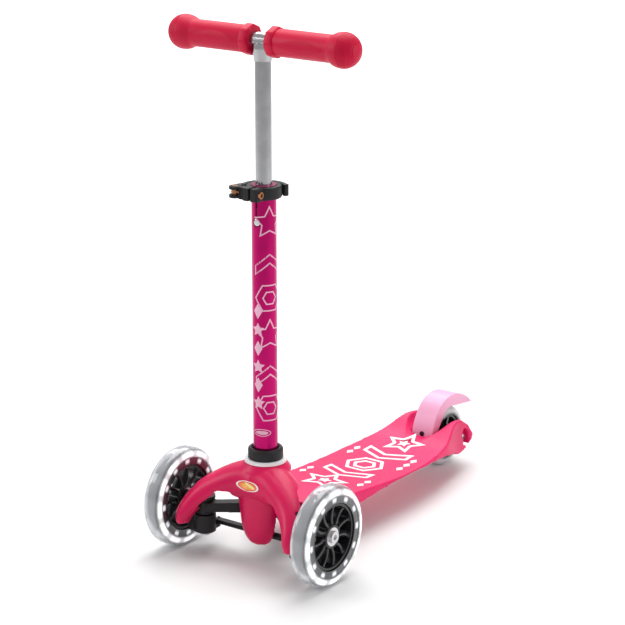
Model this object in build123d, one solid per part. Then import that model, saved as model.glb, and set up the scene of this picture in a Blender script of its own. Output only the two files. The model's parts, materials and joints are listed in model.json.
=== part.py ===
from build123d import *
import math
import os

# Child's three-wheeled kick scooter that steers by leaning.  Millimetres, +Z up.
# The front wheels are towards -Y, the rear wheel towards +Y, and Z = 0 is the ground.
# The origin is on the ground at the middle of the overall length and width.
# "Left" and "right" are the rider's: left is +X.

# Overall sizes
wheelbase = 409.0
front_track = 213.0
overall_width = 258.0
bar_height = 611.5
stem_setback = 27.0
brake_overhang = 12.0

# Wheels and bearings
front_wheel_dia = 120.0
rear_wheel_dia = 80.0
wheel_width = 24.0
tyre_corner = 9.0
light_ring_outer = front_wheel_dia - 23.0
light_ring_inner = light_ring_outer - 17.0
bearing_od = 22.0
bearing_id = 8.0
bearing_width = 7.0
bearing_gap = 3.6
axle_bolt_dia = 8.0
spoke_count = 11

# Stem, clamp and handlebar
tube_od = 28.6
tube_bore = 25.8
tube_top = 448.0
bar_od = 19.0
bar_wall = 1.5
guide_length = 34.0
slit_width = 2.5
keyhole_dia = 10.0
keyhole_z = 407.7
button_dia = 9.0
clamp_height = 14.8
clamp_radius = 20.5
grip_radius = 15.5
knob_radius = 20.0
knob_length = 20.0

# Steering
kingpin_span = 140.0
kingpin_dia = 8.0
pivot_height = 56.0
pivot_dia = 10.0
steer_arm = 20.0

# Socket, cover and deck
socket_radius = 19.0
socket_floor = 72.0
socket_top = 123.6
washer_radius = 25.0
washer_thickness = 3.3
collar_radius = 20.6
collar_height = 13.3
cover_wall = 2.6
deck_height = 52.0
deck_half_width = 57.0
deck_plate = 5.0
skirt_wall = 4.0

# Clearances
run_fit = 0.05
body_gap = 0.6

# Places that follow from the sizes above
front_radius = front_wheel_dia / 2
rear_radius = rear_wheel_dia / 2
overall_length = front_radius + wheelbase + rear_radius + brake_overhang
front_axle_y = front_radius - overall_length / 2
rear_axle_y = front_axle_y + wheelbase
stem_y = front_axle_y + stem_setback
kingpin_x = kingpin_span / 2
wheel_x = front_track / 2
hub_half = bearing_gap / 2 + bearing_width
tube_radius = tube_od / 2
bar_radius = bar_od / 2

os.makedirs("parts", exist_ok=True)


def save(node, *shapes):
    """Write one node, as one solid or a group of separate solids."""
    solids = [solid for shape in shapes for solid in shape.solids()]
    export_step(Compound(children=solids), f"parts/{node}.step")


def rod(radius, start, end):
    """A round bar from one point to another."""
    start, end = Vector(*start), Vector(*end)
    plane = Plane(origin=start, z_dir=end - start)
    return extrude(plane * Circle(radius), (end - start).length)


def tube(outer, inner, start, end):
    """A round tube from one point to another."""
    start, end = Vector(*start), Vector(*end)
    plane = Plane(origin=start, z_dir=end - start)
    return extrude(plane * (Circle(outer) - Circle(inner)), (end - start).length)


def block(low, high):
    """A box from its lowest corner to its highest."""
    size = [b - a for a, b in zip(low, high)]
    middle = [(a + b) / 2 for a, b in zip(low, high)]
    return Pos(*middle) * Box(*size)


def mirrored(shape):
    """The same piece on the other side of the middle plane."""
    return mirror(shape, about=Plane.YZ)


def lathe_x(points, x, y, z):
    """Turn an outline of (offset along X, radius) about an axis along X."""
    face = make_face(Polyline(*[(a, r) for a, r in points], close=True))
    return Pos(x, y, z) * revolve(face, Axis.X)


def lathe_z(points, y):
    """Turn an outline of (radius, height) about the upright axis at X = 0."""
    face = Plane.XZ * make_face(Polyline(*points, close=True))
    return Pos(0, y, 0) * revolve(face, Axis.Z)


def behind(offset):
    """A place along Y, measured back from the front axle."""
    return front_axle_y + offset


def side_slab(points, low_x, high_x):
    """A slab along X from an outline of (distance behind the front axle, height)."""
    outline = Polyline(*[(behind(y), z) for y, z in points], close=True)
    face = Plane.YZ * make_face(outline)
    return Pos(low_x, 0, 0) * extrude(face, high_x - low_x)


def hex_bolt(head_radius, head_length, shank_radius, start, end):
    """A socket-head bolt: the head's outer face is at start, the tip at end."""
    start, end = Vector(*start), Vector(*end)
    along = (end - start).normalized()
    head_end = start + along * head_length
    body = rod(head_radius, start, head_end) + rod(shank_radius, head_end, end)
    plane = Plane(origin=start, z_dir=along)
    socket = extrude(plane * RegularPolygon(head_radius * 0.5, 6), head_length * 0.6)
    return body - socket


# Wheels.  Each is made at the origin, its axle along Z, then turned into place.
def wheel_tyre(outer_radius, inner_radius, corner):
    """A tyre ring with rounded shoulders."""
    ring = Pos(0, (outer_radius + inner_radius) / 2) * Rectangle(wheel_width, outer_radius - inner_radius)
    shoulders = ring.vertices().sort_by(Axis.Y)[-2:]
    return Rot(0, 90, 0) * revolve(fillet(shoulders, corner), Axis.X)


def wheel_core(outer_radius, rim_thickness, rim_half, spokes, curl):
    """A moulded core: rim, curved spokes and a hub with a seat for each bearing."""
    rim_inner = outer_radius - rim_thickness
    hub_radius = bearing_od / 2 + 3.0
    core = extrude(Circle(outer_radius) - Circle(rim_inner), rim_half, both=True)
    core += extrude(Circle(hub_radius), hub_half, both=True)
    middle = (hub_radius + rim_inner) / 2
    swirl = ThreePointArc((hub_radius - 2, 0), (middle, curl), (rim_inner + 1.5, curl * 0.7))
    spoke = extrude(trace(swirl, 4.0), hub_half - 2.0, both=True)
    for i in range(spokes):
        core += Rot(0, 0, 360 * i / spokes) * spoke
    core -= extrude(Circle(bearing_od / 2 - 1.5), hub_half + 1, both=True)
    for end in (-1, 1):
        core -= Pos(0, 0, end * (hub_half + bearing_gap / 2) / 2) * Cylinder(bearing_od / 2, bearing_width)
    return core


def bearing_rings(outer, inner):
    """The same ring of both bearings."""
    rings = [Cylinder(outer, bearing_width) - Cylinder(inner, bearing_width) for _ in range(2)]
    reach = (hub_half + bearing_gap / 2) / 2
    return [Pos(0, 0, reach) * rings[0], Pos(0, 0, -reach) * rings[1]]


race_radius = (bearing_od + bearing_id) / 4
bearing_outers = bearing_rings(bearing_od / 2, race_radius + run_fit)
bearing_inners = bearing_rings(race_radius, bearing_id / 2)
axle_sleeve = Cylinder(6.0, bearing_gap) - Cylinder(bearing_id / 2, bearing_gap)

ring_outer = light_ring_outer / 2
ring_inner = light_ring_inner / 2
lamp_circle = (ring_outer + ring_inner) / 2
front_tyre = wheel_tyre(front_radius, ring_outer, tyre_corner)
front_core = wheel_core(ring_inner, 4.0, wheel_width / 2 - 2.5, spoke_count, 5.5)
front_ring = extrude(Circle(ring_outer) - Circle(ring_inner), wheel_width / 2 - 1.0, both=True)
lamps = [Rot(0, 0, 60 * i) * Pos(lamp_circle, 0, 0) * Cylinder(1.6, 14.0) for i in range(6)]
front_ring -= lamps

for name, side in (("left", 1), ("right", -1)):
    place = Pos(side * wheel_x, front_axle_y, front_radius) * Rot(0, 90 * side, 0)
    save(f"front_tyre_{name}", place * front_tyre)
    save(f"front_light_ring_{name}", place * front_ring)
    save(f"front_lamps_{name}", *[place * lamp for lamp in lamps])
    save(f"front_core_{name}", place * front_core)
    save(f"front_bearing_outers_{name}", *[place * ring for ring in bearing_outers])
    save(f"front_bearing_inners_{name}", *[place * ring for ring in bearing_inners])
    save(f"front_axle_sleeve_{name}", place * axle_sleeve)

rear_core_radius = rear_radius - tyre_corner - 2.0
place = Pos(0, rear_axle_y, rear_radius) * Rot(0, 90, 0)
save("rear_tyre", place * wheel_tyre(rear_radius, rear_core_radius, tyre_corner))
save("rear_core", place * wheel_core(rear_core_radius, 4.0, wheel_width / 2 - 2.5, 7, 3.0))
save("rear_bearing_outers", *[place * ring for ring in bearing_outers])
save("rear_bearing_inners", *[place * ring for ring in bearing_inners])


# Axle beam: a pivot hub under the stem socket and an arm to an upright eye at each side
hub_y = stem_setback + 11.0
hub_length = 20.0
hub_radius = 11.0
eye_low = 47.0
eye_high = 64.0
eye_radius = 11.5
arm_width = 18.0
plan = [
    (0, behind(hub_y - arm_width / 2)),
    (14, behind(hub_y - arm_width / 2)),
    (kingpin_x - 10, behind(-arm_width / 2)),
    (kingpin_x, behind(-arm_width / 2)),
    (kingpin_x, behind(arm_width / 2)),
    (kingpin_x - 10, behind(arm_width / 2)),
    (14, behind(hub_y + arm_width / 2)),
    (0, behind(hub_y + arm_width / 2)),
]
front_view = [(0, 49), (20, 49), (kingpin_x, 52.5), (kingpin_x, 63), (20, 62), (0, 62)]
arm = extrude(make_face(Polyline(*plan, close=True)), 100)
arm &= Pos(0, 100, 0) * extrude(Plane.XZ * make_face(Polyline(*front_view, close=True)), 400)
arm += rod(eye_radius, (kingpin_x, front_axle_y, eye_low), (kingpin_x, front_axle_y, eye_high))
hub_front = behind(hub_y - hub_length / 2)
hub_back = behind(hub_y + hub_length / 2)
beam = arm + mirrored(arm)
beam += rod(hub_radius, (0, hub_front, pivot_height), (0, hub_back, pivot_height))
beam -= rod(pivot_dia / 2 + run_fit, (0, hub_front - 1, pivot_height), (0, hub_back + 1, pivot_height))
kingpin_low = 20.0
kingpin_high = 70.5
kingpin_head_radius = 6.5
knuckle_low = 24.0
knuckle_high = 69.0
for side in (-1, 1):
    x = side * kingpin_x
    beam -= rod(kingpin_dia / 2, (x, front_axle_y, 0), (x, front_axle_y, 100))
save("axle_beam", beam)

kingpins = []
for side in (-1, 1):
    x = side * kingpin_x
    start = (x, front_axle_y, kingpin_low)
    head_length = knuckle_low - 0.3 - kingpin_low
    end = (x, front_axle_y, kingpin_high)
    kingpins.append(hex_bolt(kingpin_head_radius, head_length, kingpin_dia / 2, start, end))
save("kingpins", *kingpins)

# Knuckle: a C-shaped carrier round the eye, with the stub for the wheel and a steering arm
lug_radius = 12.5
boss_radius = 13.0
arm_low = 23.0
arm_high = 28.0
link_thickness = 5.0
link_gap = 0.5
link_low = arm_high + link_gap
web_inner = kingpin_x + eye_radius + 1.1
web_outer = web_inner + 6.0
web_half = 10.0
eye_play = 0.5
lower_top = eye_low - eye_play
upper_low = eye_high + eye_play
knuckle = rod(boss_radius, (kingpin_x, front_axle_y, knuckle_low), (kingpin_x, front_axle_y, lower_top))
knuckle += rod(lug_radius, (kingpin_x, front_axle_y, upper_low), (kingpin_x, front_axle_y, knuckle_high))
knuckle += block((web_inner, behind(-web_half), knuckle_low), (web_outer, behind(web_half), knuckle_high))
knuckle += block((kingpin_x, behind(-web_half), knuckle_low), (web_outer, behind(web_half), lower_top))
knuckle += block((kingpin_x, behind(-web_half), upper_low), (web_outer, behind(web_half), knuckle_high))
stub_end = wheel_x - hub_half
stub_radius = 9.0
stub_face_radius = 6.5
stub_step = stub_end - 1
knuckle += rod(stub_radius, (web_inner, front_axle_y, front_radius), (stub_step, front_axle_y, front_radius))
knuckle += rod(stub_face_radius, (stub_step, front_axle_y, front_radius), (stub_end, front_axle_y, front_radius))
knuckle += block((kingpin_x - 6, behind(0), arm_low), (kingpin_x + 6, behind(steer_arm), arm_high))
knuckle += rod(6.0, (kingpin_x, behind(steer_arm), arm_low), (kingpin_x, behind(steer_arm), arm_high))
knuckle -= rod(kingpin_dia / 2 + run_fit, (kingpin_x, front_axle_y, 0), (kingpin_x, front_axle_y, 100))
knuckle -= rod(kingpin_head_radius + 0.4, (kingpin_x, front_axle_y, 0), (kingpin_x, front_axle_y, knuckle_low))
stub_mouth = (stub_end + 1, front_axle_y, front_radius)
knuckle -= rod(axle_bolt_dia / 2, (web_inner, front_axle_y, front_radius), stub_mouth)
link_pin_radius = 3.0
link_pin_top = 34.5
arm_end = behind(steer_arm)
knuckle -= rod(link_pin_radius, (kingpin_x, arm_end, 0), (kingpin_x, arm_end, arm_high + 1))
link_pin = rod(link_pin_radius, (kingpin_x, arm_end, arm_low), (kingpin_x, arm_end, link_pin_top))
wheel_bolt = hex_bolt(
    7.0,
    3.2,
    axle_bolt_dia / 2,
    (wheel_x + hub_half + 3.2, front_axle_y, front_radius),
    (web_inner + 1, front_axle_y, front_radius),
)
for name, shape in (("knuckle", knuckle), ("link_pin", link_pin), ("wheel_bolt", wheel_bolt)):
    save(f"{name}_left", shape)
    save(f"{name}_right", mirrored(shape))

# Tie rod between the steering arms, with the fork that the steering finger works in
link_top = link_low + link_thickness
link = block((-kingpin_x, behind(steer_arm - 5), link_low), (kingpin_x, behind(steer_arm + 5), link_top))
finger_radius = 3.0
fork_half = 11.0
notch_half = finger_radius + 0.6
link += block((-fork_half, behind(steer_arm - 8.5), link_low), (fork_half, behind(steer_arm + 8), link_top))
link -= block((-notch_half, behind(steer_arm - 4.5), 0), (notch_half, behind(steer_arm + 9), 60))
for side, play in ((1, run_fit), (-1, 0.3)):
    x = side * kingpin_x
    link += rod(6.5, (x, behind(steer_arm), link_low), (x, behind(steer_arm), link_top))
    link -= rod(link_pin_radius + play, (x, behind(steer_arm), 0), (x, behind(steer_arm), 60))
save("tie_rod", link)

# Steering housing: stem socket, two cheeks for the lean pivot, and a tongue under the deck
cheek_front = hub_front - body_gap
cheek_back = hub_back + body_gap
cheek_thickness = 8.0
cheek_low = 42.0
tongue_low = 40.0
tongue_high = 46.0
tongue_end = 128.0
tongue_half = 24.0
housing = rod(socket_radius, (0, stem_y, socket_floor - 4), (0, stem_y, socket_top))
cheek_half = 15.0
bridge_low = socket_floor - 4
gusset_top = socket_floor + 20
front_end = cheek_front - cheek_thickness
back_end = cheek_back + cheek_thickness
housing += block((-cheek_half, front_end, cheek_low), (cheek_half, cheek_front, socket_floor))
housing += block((-cheek_half, cheek_back, tongue_low), (cheek_half, back_end, gusset_top))
housing += block((-cheek_half, front_end, bridge_low), (cheek_half, back_end, socket_floor))
housing += block((-cheek_half, stem_y, socket_floor), (cheek_half, back_end, gusset_top))
housing += block((-tongue_half, cheek_back, tongue_low), (tongue_half, behind(tongue_end), tongue_high))
rib_x = 13.0
rib_half = 2.0
rib_end = behind(tongue_end) - 30
for side in (-1, 1):
    rib_low = (side * rib_x - rib_half, cheek_back, tongue_low)
    housing += block(rib_low, (side * rib_x + rib_half, rib_end, tongue_high + 6))
buffer_x = 24.0
buffer_y = behind(30)
buffer_radius = 5.0
buffer_low = 62.6
buffer_high = bridge_low
housing += block((-buffer_x - 6, buffer_y - 6, buffer_high), (buffer_x + 6, buffer_y + 6, socket_floor))
housing -= rod(tube_radius + run_fit, (0, stem_y, socket_floor), (0, stem_y, socket_top + 1))
screw_top = 53.0
screw_places = [(x, behind(y)) for x in (-18, 18) for y in (104, 120)]
deck_screws = []
for x, y in screw_places:
    screw = rod(4.2, (x, y, tongue_low), (x, y, tongue_low + 2))
    screw += rod(2.2, (x, y, tongue_low + 2), (x, y, screw_top))
    housing -= screw
    deck_screws.append(screw)
save("deck_screws", *deck_screws)
lean_buffer = rod(buffer_radius, (buffer_x, buffer_y, buffer_low), (buffer_x, buffer_y, buffer_high))
save("lean_buffers", mirrored(lean_buffer), lean_buffer)
pin_start = (0, front_end, pivot_height)
pin_end = (0, back_end, pivot_height)
housing -= rod(pivot_dia / 2, pin_start, pin_end)
finger_top = cheek_low + 8.0
housing -= rod(finger_radius, (0, arm_end, 0), (0, arm_end, finger_top))
save("lean_pivot_pin", rod(pivot_dia / 2, pin_start, pin_end))
save("steering_finger", rod(finger_radius, (0, arm_end, link_low - 2), (0, arm_end, finger_top)))

# Washer and threaded collar at the foot of the stem
washer_top = socket_top
washer_low = washer_top - washer_thickness
washer = tube(washer_radius, socket_radius, (0, stem_y, washer_low), (0, stem_y, washer_top))
save("collar_washer", washer)
collar_top = socket_top + collar_height
collar = tube(collar_radius, tube_radius + 1.0, (0, stem_y, socket_top), (0, stem_y, collar_top))
top_rim = collar.edges().filter_by(GeomType.CIRCLE).sort_by(Axis.Z)[-2:]
save("collar_ring", fillet(top_rim, 1.2))


# Front cover: a nose over the pivot and a wing over each knuckle, as one thin shell
def oval_loft(stations, inset):
    """A loft through ovals, each a centre, an outward direction, a width and a height."""
    sections = []
    for centre, direction, across, width, height in stations:
        x, y, z = centre
        plane = Plane(origin=(x, behind(y), z), x_dir=across, z_dir=direction)
        sections.append(plane * Ellipse(width - inset, height - inset))
    return loft(sections)


nose_y = 16.0
nose_back = 13.5
wing_stations = [
    ((0, 19, 96), (1, 0, 0), (0, 1, 0), 28, 24),
    ((24, 16, 95), (1, -0.1, -0.1), (0.1, 1, 0), 25.5, 22),
    ((48, 5, 86), (1, -0.4, -0.45), (0.4, 1, 0), 21.5, 18),
    ((68, -11, 72), (0.75, -0.5, -0.75), (0.5, 0.8, 0), 17, 14),
    ((78, -25, 56), (0.3, -0.35, -1), (0.35, 0.9, -0.2), 15, 10.5),
    ((80, -30, 41), (0.0, -0.2, -1), (0.25, 0.9, 0), 11, 6.5),
]
nose_stations = [
    ((0, 17, 104), (0, 0, -1), (0, 1, 0), 20, 28),
    ((0, nose_y, 84), (0, 0, -1), (0, 1, 0), 19, 30),
    ((0, nose_y, 62), (0, 0, -1), (0, 1, 0), 18.5, 27),
    ((0, nose_y, 42), (0, 0, -1), (0, 1, 0), 17.5, 24),
    ((0, nose_y, 28), (0, 0, -1), (0, 1, 0), 14.5, 19),
    ((0, nose_y, 19), (0, 0, -1), (0, 1, 0), 7, 10),
]
crown = [(0, washer_low), (washer_radius - 0.5, washer_low), (washer_radius + 5, 112), (31, 100), (0, 100)]


def cover_form(inset):
    """The outer shape of the cover, or its inner wall when inset."""
    wing = oval_loft(wing_stations, inset)
    lowered = [(max(r - inset, 0), z - inset) for r, z in crown]
    return wing + mirrored(wing) + oval_loft(nose_stations, inset) + lathe_z(lowered, stem_y)


cover = cover_form(0) - cover_form(cover_wall)
cover -= rod(socket_radius + 0.1, (0, stem_y, 0), (0, stem_y, 200))
cover -= block((-25, stem_y - 8, 0), (25, behind(90), 90))
cover -= block((-90, behind(38), 0), (90, behind(90), 108))
cover -= block((-31, behind(nose_back), 0), (31, behind(90), 74))
cover -= block((-90, behind(-80), washer_low), (90, behind(90), 200))
arch_view = [(24, 0), (28, 60), (31, 73), (38, 79), (48, 77)]
arch_view += [(60, 66), (70, 50), (77, 36), (90, 34), (100, 0)]
arch = Pos(0, 200, 0) * extrude(Plane.XZ * make_face(Polyline(*arch_view, close=True)), 500)
rear_plan = [(30, behind(26)), (54, behind(14)), (92, behind(-22))]
rear_plan += [(120, behind(0)), (120, behind(90)), (30, behind(90))]
rear_cut = extrude(make_face(Polyline(*rear_plan, close=True)), 100)
swing = block((27, behind(-15.5), 0), (95, behind(90), 84))
for cutter in (arch, rear_cut, swing):
    cover -= cutter
    cover -= mirrored(cutter)
cover = cover.solids().sort_by(SortBy.VOLUME)[-1]
save("front_cover", cover)

badge_z = 98.0
badge_plane = Plane(origin=(0, behind(-9), badge_z), x_dir=(1, 0, 0), z_dir=(0, -1, 0.25))
badge = extrude(badge_plane * Ellipse(16, 6), 30, both=True) & (cover_form(-0.8) - cover_form(0))
badge = badge.solids().sort_by(Axis.Y)[0]
save("badge", badge)
save("steering_housing", housing)

# Deck: one moulding with a thin plate, side skirts, ribs below and two lugs for the rear axle
axle_offset = wheelbase
deck_front = 64.0
deck_top = [
    (deck_front, 60.5),
    (140, 57.5),
    (200, deck_height + 0.5),
    (320, deck_height),
    (axle_offset - 55, 58.5),
    (axle_offset - 36, 67),
    (axle_offset - 14, 69.5),
    (axle_offset - 5, 68),
    (axle_offset + 10, 58),
    (axle_offset + 19, 43),
]
deck_base = [
    (axle_offset + 17, 39.5),
    (axle_offset, 31),
    (axle_offset - 16, 27.5),
    (axle_offset - 40, 33),
    (axle_offset - 70, 41),
    (300, 45),
    (200, 46.5),
    (150, 43),
    (100, 43),
    (deck_front, 50),
]
deck_plan = [
    (deck_front, deck_half_width - 15),
    (80, deck_half_width - 4),
    (110, deck_half_width),
    (axle_offset - 95, deck_half_width + 1),
    (axle_offset - 55, deck_half_width - 6),
    (axle_offset - 30, deck_half_width - 13),
    (axle_offset, deck_half_width - 17),
    (axle_offset + 19, deck_half_width - 17),
]
flare = 0.16


def deck_outline(inset, height):
    """The deck's plan at a height; its sides lean inwards towards the top."""
    shrink = inset + flare * (height - 40)
    left = [(w - shrink, behind(y)) for y, w in deck_plan]
    right = [(-w + shrink, behind(y)) for y, w in deck_plan]
    sides = [Spline(*left), Spline(*right)]
    ends = [Line(left[0], right[0]), Line(left[-1], right[-1])]
    return Pos(0, 0, height) * make_face(sides + ends)


def deck_form(inset):
    """The deck as a solid block between its top and its lower edge."""
    plan_form = loft([deck_outline(inset, 0), deck_outline(inset, 100)])
    top = Spline(*[(behind(y), z) for y, z in deck_top[:-3]])
    nose = Polyline(*[(behind(y), z) for y, z in deck_top[-3:] + deck_base[:1]])
    shoulder = Line(top @ 1, nose @ 0)
    base = Spline(*[(behind(y), z) for y, z in deck_base])
    front = Line(base @ 1, top @ 0)
    side_face = Plane.YZ * make_face([top, shoulder, nose, base, front])
    return plan_form & extrude(side_face, 80, both=True)


deck = deck_form(0)
scoop_radius = 34.0
deck -= rod(
    scoop_radius,
    (0, behind(axle_offset - 90), deck_height + scoop_radius - 0.5),
    (0, behind(axle_offset + 60), deck_height + scoop_radius - 0.5),
)
under = deck_form(skirt_wall)
under_end = axle_offset - 62
under_start = deck_front + 4
under = Pos(0, 0, -deck_plate) * under & block((-80, behind(under_start), 20), (80, behind(under_end), 100))
under += Pos(0, 0, -deck_plate - 12) * under
rib_thickness = 2.5
deck -= under
deck_solid = deck_form(0.5)
deck_solid &= block((-80, behind(under_start), 20), (80, behind(under_end), deck_height - 1))
half_rib = rib_thickness / 2
for x in (-32, 0, 32):
    long_rib = block((x - half_rib, behind(130), 20), (x + half_rib, behind(under_end), 90))
    deck += long_rib & deck_solid
for y in (180, 235, 290):
    cross_rib = block((-60, behind(y - half_rib), 20), (60, behind(y + half_rib), 90))
    deck += cross_rib & deck_solid
wheel_gap_half = 16.2
slot_front = axle_offset - 47.5
pocket_front = slot_front - 9.0
brake_gap = 1.2
pocket_top = deck_height - deck_plate
deck -= block((-wheel_gap_half, behind(pocket_front), 0), (wheel_gap_half, behind(slot_front + 1), pocket_top))
deck -= block((-wheel_gap_half, behind(slot_front), 0), (wheel_gap_half, behind(axle_offset + 60), 100))
deck -= block((-tongue_half - 0.5, behind(0), 0), (tongue_half + 0.5, behind(tongue_end + 1), tongue_high))
rib_space = block((-16, behind(0), 0), (16, behind(tongue_end - 29), tongue_high + 6.5))
deck -= rib_space
pads = block((-tongue_half, behind(72), tongue_high), (tongue_half, behind(tongue_end), 64))
pads -= rib_space
deck += pads & deck_form(0.5)
for screw in deck_screws:
    deck -= screw
axle_sink = 29.0
for side in (-1, 1):
    seat_low = (side * axle_sink, rear_axle_y, rear_radius)
    sink = Pos(*seat_low) * Rot(0, 90 * side, 0) * extrude(SlotCenterToCenter(7, 16, rotation=0), 20)
    deck -= Pos(0, 0, 3.5) * sink
deck -= rod(axle_bolt_dia / 2, (-60, rear_axle_y, rear_radius), (60, rear_axle_y, rear_radius))

# Rear axle
spacer_ends = [(hub_half, rear_axle_y, rear_radius), (wheel_gap_half, rear_axle_y, rear_radius)]
spacer = tube(6.5, axle_bolt_dia / 2, *spacer_ends)
middle_spacer = Pos(0, rear_axle_y, rear_radius) * Rot(0, 90, 0) * axle_sleeve
save("rear_spacers", spacer, mirrored(spacer), middle_spacer)
head = 5.0
axle_bolt = hex_bolt(
    6.5, head, axle_bolt_dia / 2,
    (axle_sink + head, rear_axle_y, rear_radius), (-axle_sink - head, rear_axle_y, rear_radius),
)
save("rear_axle_bolt", axle_bolt)
nut_plane = Plane(origin=(-axle_sink, rear_axle_y, rear_radius), z_dir=(-1, 0, 0))
nut = extrude(nut_plane * (RegularPolygon(6.8, 6) - Circle(axle_bolt_dia / 2)), head)
save("rear_axle_nut", nut)

# Rear brake: a sprung fender that is pushed down on the wheel
brake_outer = [(0, 47), (0.8, 54), (7, 70), (21, 87.5), (46, 96.5), (64, 94.5)]
brake_outer += [(overall_length - front_radius - slot_front - brake_gap, 74)]
brake_lower = [(54, 80), (32, 76), (19, 60), (10, 50), (5, 47)]
brake_start = slot_front + brake_gap
brake_half = 15.5
brake_wall = 2.0
outer_curve = Spline(*[(behind(brake_start + y), z) for y, z in brake_outer])
lower_curve = Spline(*[(behind(brake_start + y), z) for y, z in brake_lower])
tip = Line(outer_curve @ 1, lower_curve @ 0)
heel = Line(lower_curve @ 1, outer_curve @ 0)
brake_face = make_face([outer_curve, tip, lower_curve, heel])
fender = extrude(Plane.YZ * brake_face, brake_half, both=True)
hollow_face = Pos(brake_wall, -brake_wall) * brake_face
hollow = extrude(Plane.YZ * hollow_face, brake_half - brake_wall, both=True)
hollow &= block((-50, behind(brake_start + brake_wall), 0), (50, behind(brake_start + 200), 200))
fender -= hollow
brake_pivot = (0, behind(slot_front - 1.5), 38.0)
foot_radius = 5.0
foot = rod(foot_radius, (-brake_half, *brake_pivot[1:]), (brake_half, *brake_pivot[1:]))
foot += side_slab(
    [
        (slot_front - 6.5, 38),
        (slot_front - 3, 44),
        (brake_start, 47.5),
        (brake_start + 4.3, 49),
        (brake_start + 4.3, 42),
        (slot_front + 3, 37),
    ],
    -brake_half,
    brake_half,
)
spring_half = 8.5
spring_space = spring_half + 0.5
foot -= block((-spring_space, behind(slot_front - 20), 0), (spring_space, behind(slot_front + 20), 43.5))
fender += foot
brake_pin_radius = 2.5
pin_half = 24.0
fender -= rod(brake_pin_radius + run_fit, (-40, *brake_pivot[1:]), (40, *brake_pivot[1:]))
deck -= rod(brake_pin_radius, (-pin_half, *brake_pivot[1:]), (pin_half, *brake_pivot[1:]))
save("brake_pivot_pin", rod(brake_pin_radius, (-pin_half, *brake_pivot[1:]), (pin_half, *brake_pivot[1:])))
screw_z = 53.5
screw_start = (0, behind(brake_start - 0.2), screw_z)
fender -= rod(3.2, screw_start, (0, behind(brake_start + 1.2), screw_z))
fender -= rod(1.6, screw_start, (0, behind(brake_start + 8), screw_z))
brake_screw = rod(3.2, screw_start, (0, behind(brake_start + 1.2), screw_z))
brake_screw += rod(1.6, screw_start, (0, behind(brake_start + 4), screw_z))
save("brake_screw", brake_screw)
spring_ends = [(x, *brake_pivot[1:]) for x in (-spring_half, spring_half)]
save("brake_spring", tube(4.4, brake_pin_radius, *spring_ends))
save("brake_fender", fender)
save("deck", deck)

# Raised grip pattern on the deck: star, hexagon and chevron outlines with small solid lozenges
print_height = 0.8


def star(radius):
    """A five-pointed star with its first point along +Y."""
    points = []
    for i in range(10):
        r = radius if i % 2 == 0 else radius * 0.5
        points.append((r * math.sin(math.pi * i / 5), r * math.cos(math.pi * i / 5)))
    return make_face(Polyline(*points, close=True))


def outline(shape, width):
    """The band just inside a shape's edge."""
    return shape - offset(shape, -width)


def chevron(half, depth, rise):
    """A V-shaped band that points along -Y."""
    right = [(0, -rise), (half, 0), (half, depth), (0, depth - rise)]
    left = [(-x, y) for x, y in right[1:3]]
    return make_face(Polyline(*right, *reversed(left), close=True))


line_width = 4.2
pattern = [
    Pos(0, behind(146)) * outline(star(31), line_width),
    Pos(0, behind(146)) * star(9),
    Pos(0, behind(188)) * outline(chevron(33, 19, 15), line_width),
    Pos(0, behind(232)) * outline(RegularPolygon(27, 6), line_width),
    Pos(0, behind(232)) * outline(RegularPolygon(16, 6), line_width),
    Pos(0, behind(276)) * outline(chevron(33, 19, 15), line_width),
    Pos(0, behind(321)) * outline(star(29), line_width),
    Pos(0, behind(321)) * star(9),
]
lozenge = make_face(Polyline((0, -7), (4.5, 0), (0, 7), (-4.5, 0), close=True))
lozenge_x = 43.0
right_places = (160, 176, 262, 278)
left_places = (160, 176, 246, 262, 278)
pattern += [Pos(-lozenge_x, behind(y)) * lozenge for y in right_places]
pattern += [Pos(lozenge_x, behind(y)) * lozenge for y in left_places]
deck_skin = Pos(0, 0, print_height) * deck_form(0)
deck_skin -= deck_form(0)
raised = []
for shape in pattern:
    raised += (extrude(shape, 100) & deck_skin).solids()
save("deck_print", *raised)


# Stem: outer tube with a slit and a keyhole at the front of its top end
slit_low = keyhole_z
stem = tube(tube_radius, tube_bore / 2, (0, stem_y, socket_floor), (0, stem_y, tube_top))
front_of_stem = stem_y - tube_radius - 1
stem -= block((-slit_width / 2, front_of_stem, slit_low), (slit_width / 2, stem_y - bar_radius, tube_top + 1))
stem -= rod(keyhole_dia / 2, (0, front_of_stem, keyhole_z), (0, stem_y - bar_radius, keyhole_z))
save("stem_tube", stem)

# Guide sleeve in the tube's mouth, with a rim that sits on the tube's end
sleeve_bore = bar_radius + run_fit
sleeve_low = tube_top - 22
sleeve = tube(tube_bore / 2, sleeve_bore, (0, stem_y, sleeve_low), (0, stem_y, tube_top))
sleeve += tube(tube_radius, sleeve_bore, (0, stem_y, tube_top), (0, stem_y, tube_top + 1.8))
sleeve -= block((-slit_width / 2, front_of_stem, sleeve_low - 1), (slit_width / 2, stem_y, tube_top + 3))
save("guide_sleeve", sleeve)

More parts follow.
